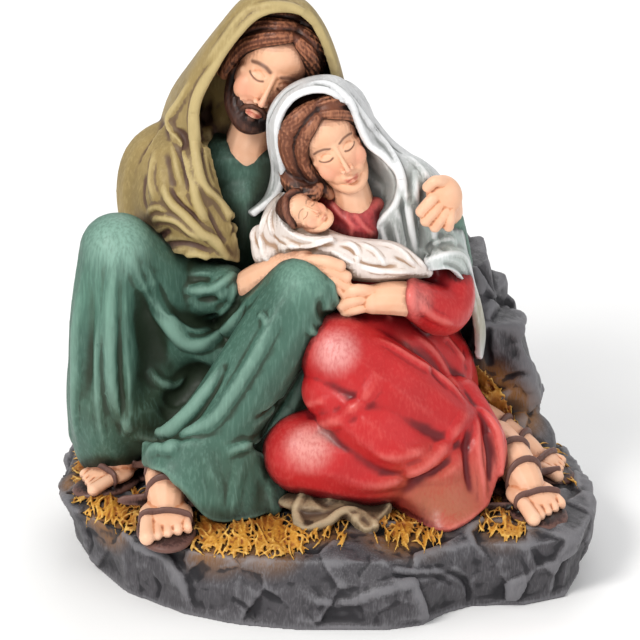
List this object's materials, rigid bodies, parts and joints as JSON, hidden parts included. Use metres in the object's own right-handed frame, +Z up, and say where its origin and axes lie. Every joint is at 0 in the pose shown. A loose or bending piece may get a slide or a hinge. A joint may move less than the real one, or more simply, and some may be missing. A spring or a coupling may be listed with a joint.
{
  "type": "holy family statue",
  "caption": "Cast resin figurine of a seated hooded man and veiled woman leaning over a swaddled child, on a rocky base.",
  "frame": {"origin": "centre of the underside, at the middle of the bounding box", "axes": "+Z up, -Y towards the front where the faces and feet are seen, +X to the viewer's right"},
  "size_m": [0.1798, 0.14, 0.1954],
  "materials": {
    "painted_resin": "matte"
  },
  "bodies": {
    "root": {"holy_family_statue": "painted_resin"}
  },
  "joints": []
}
